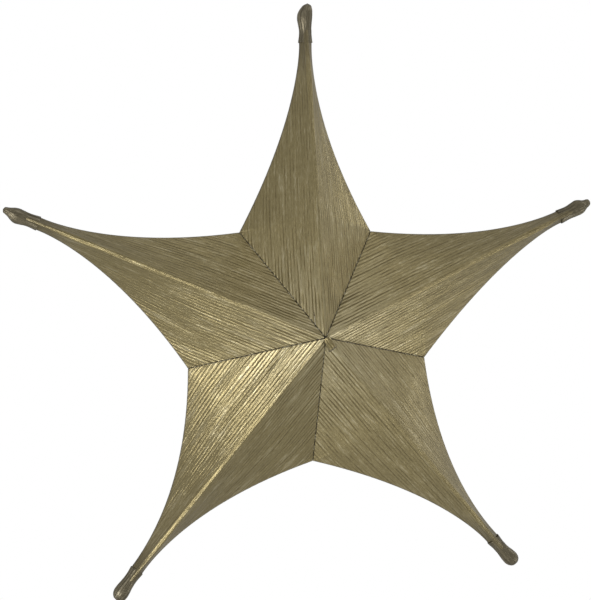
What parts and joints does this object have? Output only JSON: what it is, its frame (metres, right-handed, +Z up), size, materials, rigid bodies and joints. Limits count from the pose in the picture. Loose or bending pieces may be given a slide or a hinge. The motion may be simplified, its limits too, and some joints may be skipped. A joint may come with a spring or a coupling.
{
  "type": "folding fabric star",
  "caption": "Folding hanging star: gold metallic cloth stretched over hinged wire ribs between two hubs, with a hanging eye in the top tip.",
  "frame": {"origin": "centre of the hanging eye in the nose of the top tip", "axes": "+X to the star's right as seen from the front and along the hanging eye's axis, -Y out of the front peak, +Z up along the top arm away from the star's centre"},
  "size_m": [0.4017, 0.1166, 0.3936],
  "materials": {
    "cloth": "gold metallic pleated cloth, satin sheen",
    "tip_cloth": "the same cloth, pulled tight and darker",
    "rib_wire": "drawn zinc-plated wire",
    "tip_plastic": "moulded, dark bronze",
    "hub_plastic": "moulded, fine texture",
    "pin_steel": "bright steel",
    "post_aluminium": "drawn tube, satin",
    "spring_steel": "blued spring wire"
  },
  "bodies": {
    "top_tip": {"top_tip_cap": "tip_plastic", "top_tip_pin": "pin_steel", "top_tip_pocket": "tip_cloth"},
    "top_front": {"top_front_rib": "rib_wire", "top_front_cover": "cloth"},
    "top_rear": {"top_rear_rib": "rib_wire", "top_rear_cover": "cloth"},
    "front_hub": {"front_hub": "hub_plastic", "front_hub_pins": "pin_steel", "centre_post": "post_aluminium", "post_pin": "pin_steel"},
    "rear_hub": {"rear_hub": "hub_plastic", "rear_hub_pins": "pin_steel", "catch_spring": "spring_steel"},
    "right_front": {"right_front_rib": "rib_wire", "right_front_cover": "cloth"},
    "right_tip": {"right_tip_cap": "tip_plastic", "right_tip_pin": "pin_steel", "right_tip_pocket": "tip_cloth"},
    "right_rear": {"right_rear_rib": "rib_wire", "right_rear_cover": "cloth"},
    "lower_right_front": {"lower_right_front_rib": "rib_wire", "lower_right_front_cover": "cloth"},
    "lower_right_tip": {"lower_right_tip_cap": "tip_plastic", "lower_right_tip_pin": "pin_steel", "lower_right_tip_pocket": "tip_cloth"},
    "lower_right_rear": {"lower_right_rear_rib": "rib_wire", "lower_right_rear_cover": "cloth"},
    "lower_left_front": {"lower_left_front_rib": "rib_wire", "lower_left_front_cover": "cloth"},
    "lower_left_tip": {"lower_left_tip_cap": "tip_plastic", "lower_left_tip_pin": "pin_steel", "lower_left_tip_pocket": "tip_cloth"},
    "lower_left_rear": {"lower_left_rear_rib": "rib_wire", "lower_left_rear_cover": "cloth"},
    "left_front": {"left_front_rib": "rib_wire", "left_front_cover": "cloth"},
    "left_tip": {"left_tip_cap": "tip_plastic", "left_tip_pin": "pin_steel", "left_tip_pocket": "tip_cloth"},
    "left_rear": {"left_rear_rib": "rib_wire", "left_rear_cover": "cloth"}
  },
  "joints": [
    {"name": "fold", "type": "hinge", "parent": "top_tip", "child": "top_front", "pos_m": [0.00085, 0, -0.01265], "axis": [-1, 0, 0], "range_deg": [0, 70], "deforming": ["top_front_cover", "top_rear_cover", "right_front_cover", "right_rear_cover", "lower_right_front_cover", "lower_right_rear_cover", "lower_left_front_cover", "lower_left_rear_cover", "left_front_cover", "left_rear_cover", "catch_spring"]},
    {"name": "front_hub_hinge", "type": "hinge", "parent": "top_front", "child": "front_hub", "pos_m": [0.00085, -0.05157, -0.20365], "axis": [-1, 0, 0], "range_deg": [-70, 0]},
    {"name": "top_rear_hinge", "type": "hinge", "parent": "top_tip", "child": "top_rear", "pos_m": [-0.00085, 0, -0.01265], "axis": [1, 0, 0], "range_deg": [0, 70]},
    {"name": "rear_hub_hinge", "type": "hinge", "parent": "top_rear", "child": "rear_hub", "pos_m": [-0.00085, 0.05157, -0.20365], "axis": [1, 0, 0], "range_deg": [-70, 0]},
    {"name": "right_front_hinge", "type": "hinge", "parent": "front_hub", "child": "right_front", "pos_m": [0.01134, -0.05157, -0.21164], "axis": [-0.3987, 0, 0.9171], "range_deg": [0, 70]},
    {"name": "right_tip_hinge", "type": "hinge", "parent": "right_front", "child": "right_tip", "pos_m": [0.1865, 0, -0.13548], "axis": [-0.3987, 0, 0.9171], "range_deg": [-70, 0]},
    {"name": "right_rear_hinge", "type": "hinge", "parent": "rear_hub", "child": "right_rear", "pos_m": [0.01067, 0.05157, -0.21009], "axis": [0.3987, 0, -0.9171], "range_deg": [0, 70]},
    {"name": "lower_right_front_hinge", "type": "hinge", "parent": "front_hub", "child": "lower_right_front", "pos_m": [0.00748, -0.05157, -0.22507], "axis": [0.7373, 0, 0.6756], "range_deg": [0, 70]},
    {"name": "lower_right_tip_hinge", "type": "hinge", "parent": "lower_right_front", "child": "lower_right_tip", "pos_m": [0.13652, 0, -0.36589], "axis": [0.7373, 0, 0.6756], "range_deg": [-70, 0]},
    {"name": "lower_right_rear_hinge", "type": "hinge", "parent": "rear_hub", "child": "lower_right_rear", "pos_m": [0.00873, 0.05157, -0.22392], "axis": [-0.7373, 0, -0.6756], "range_deg": [0, 70]},
    {"name": "lower_left_front_hinge", "type": "hinge", "parent": "front_hub", "child": "lower_left_front", "pos_m": [-0.00782, -0.05157, -0.22479], "axis": [0.8039, 0, -0.5948], "range_deg": [0, 70]},
    {"name": "lower_left_tip_hinge", "type": "hinge", "parent": "lower_left_front", "child": "lower_left_tip", "pos_m": [-0.12143, 0, -0.37833], "axis": [0.8039, 0, -0.5948], "range_deg": [-70, 0]},
    {"name": "lower_left_rear_hinge", "type": "hinge", "parent": "rear_hub", "child": "lower_left_rear", "pos_m": [-0.00645, 0.05157, -0.2258], "axis": [-0.8039, 0, 0.5948], "range_deg": [0, 70]},
    {"name": "left_front_hinge", "type": "hinge", "parent": "front_hub", "child": "left_front", "pos_m": [-0.01076, -0.05157, -0.21027], "axis": [-0.3827, 0, -0.9239], "range_deg": [0, 70]},
    {"name": "left_tip_hinge", "type": "hinge", "parent": "left_front", "child": "left_tip", "pos_m": [-0.18722, 0, -0.13718], "axis": [-0.3827, 0, -0.9239], "range_deg": [-70, 0]},
    {"name": "left_rear_hinge", "type": "hinge", "parent": "rear_hub", "child": "left_rear", "pos_m": [-0.01141, 0.05157, -0.21184], "axis": [0.3827, 0, 0.9239], "range_deg": [0, 70]}
  ],
  "couplings": [
    {"joint": "front_hub_hinge", "follows": "fold", "ratio": -1},
    {"joint": "top_rear_hinge", "follows": "fold", "ratio": 1},
    {"joint": "rear_hub_hinge", "follows": "fold", "ratio": -1},
    {"joint": "right_front_hinge", "follows": "fold", "ratio": 1},
    {"joint": "right_tip_hinge", "follows": "fold", "ratio": -1},
    {"joint": "right_rear_hinge", "follows": "fold", "ratio": 1},
    {"joint": "lower_right_front_hinge", "follows": "fold", "ratio": 1},
    {"joint": "lower_right_tip_hinge", "follows": "fold", "ratio": -1},
    {"joint": "lower_right_rear_hinge", "follows": "fold", "ratio": 1},
    {"joint": "lower_left_front_hinge", "follows": "fold", "ratio": 1},
    {"joint": "lower_left_tip_hinge", "follows": "fold", "ratio": -1},
    {"joint": "lower_left_rear_hinge", "follows": "fold", "ratio": 1},
    {"joint": "left_front_hinge", "follows": "fold", "ratio": 1},
    {"joint": "left_tip_hinge", "follows": "fold", "ratio": -1},
    {"joint": "left_rear_hinge", "follows": "fold", "ratio": 1}
  ]
}
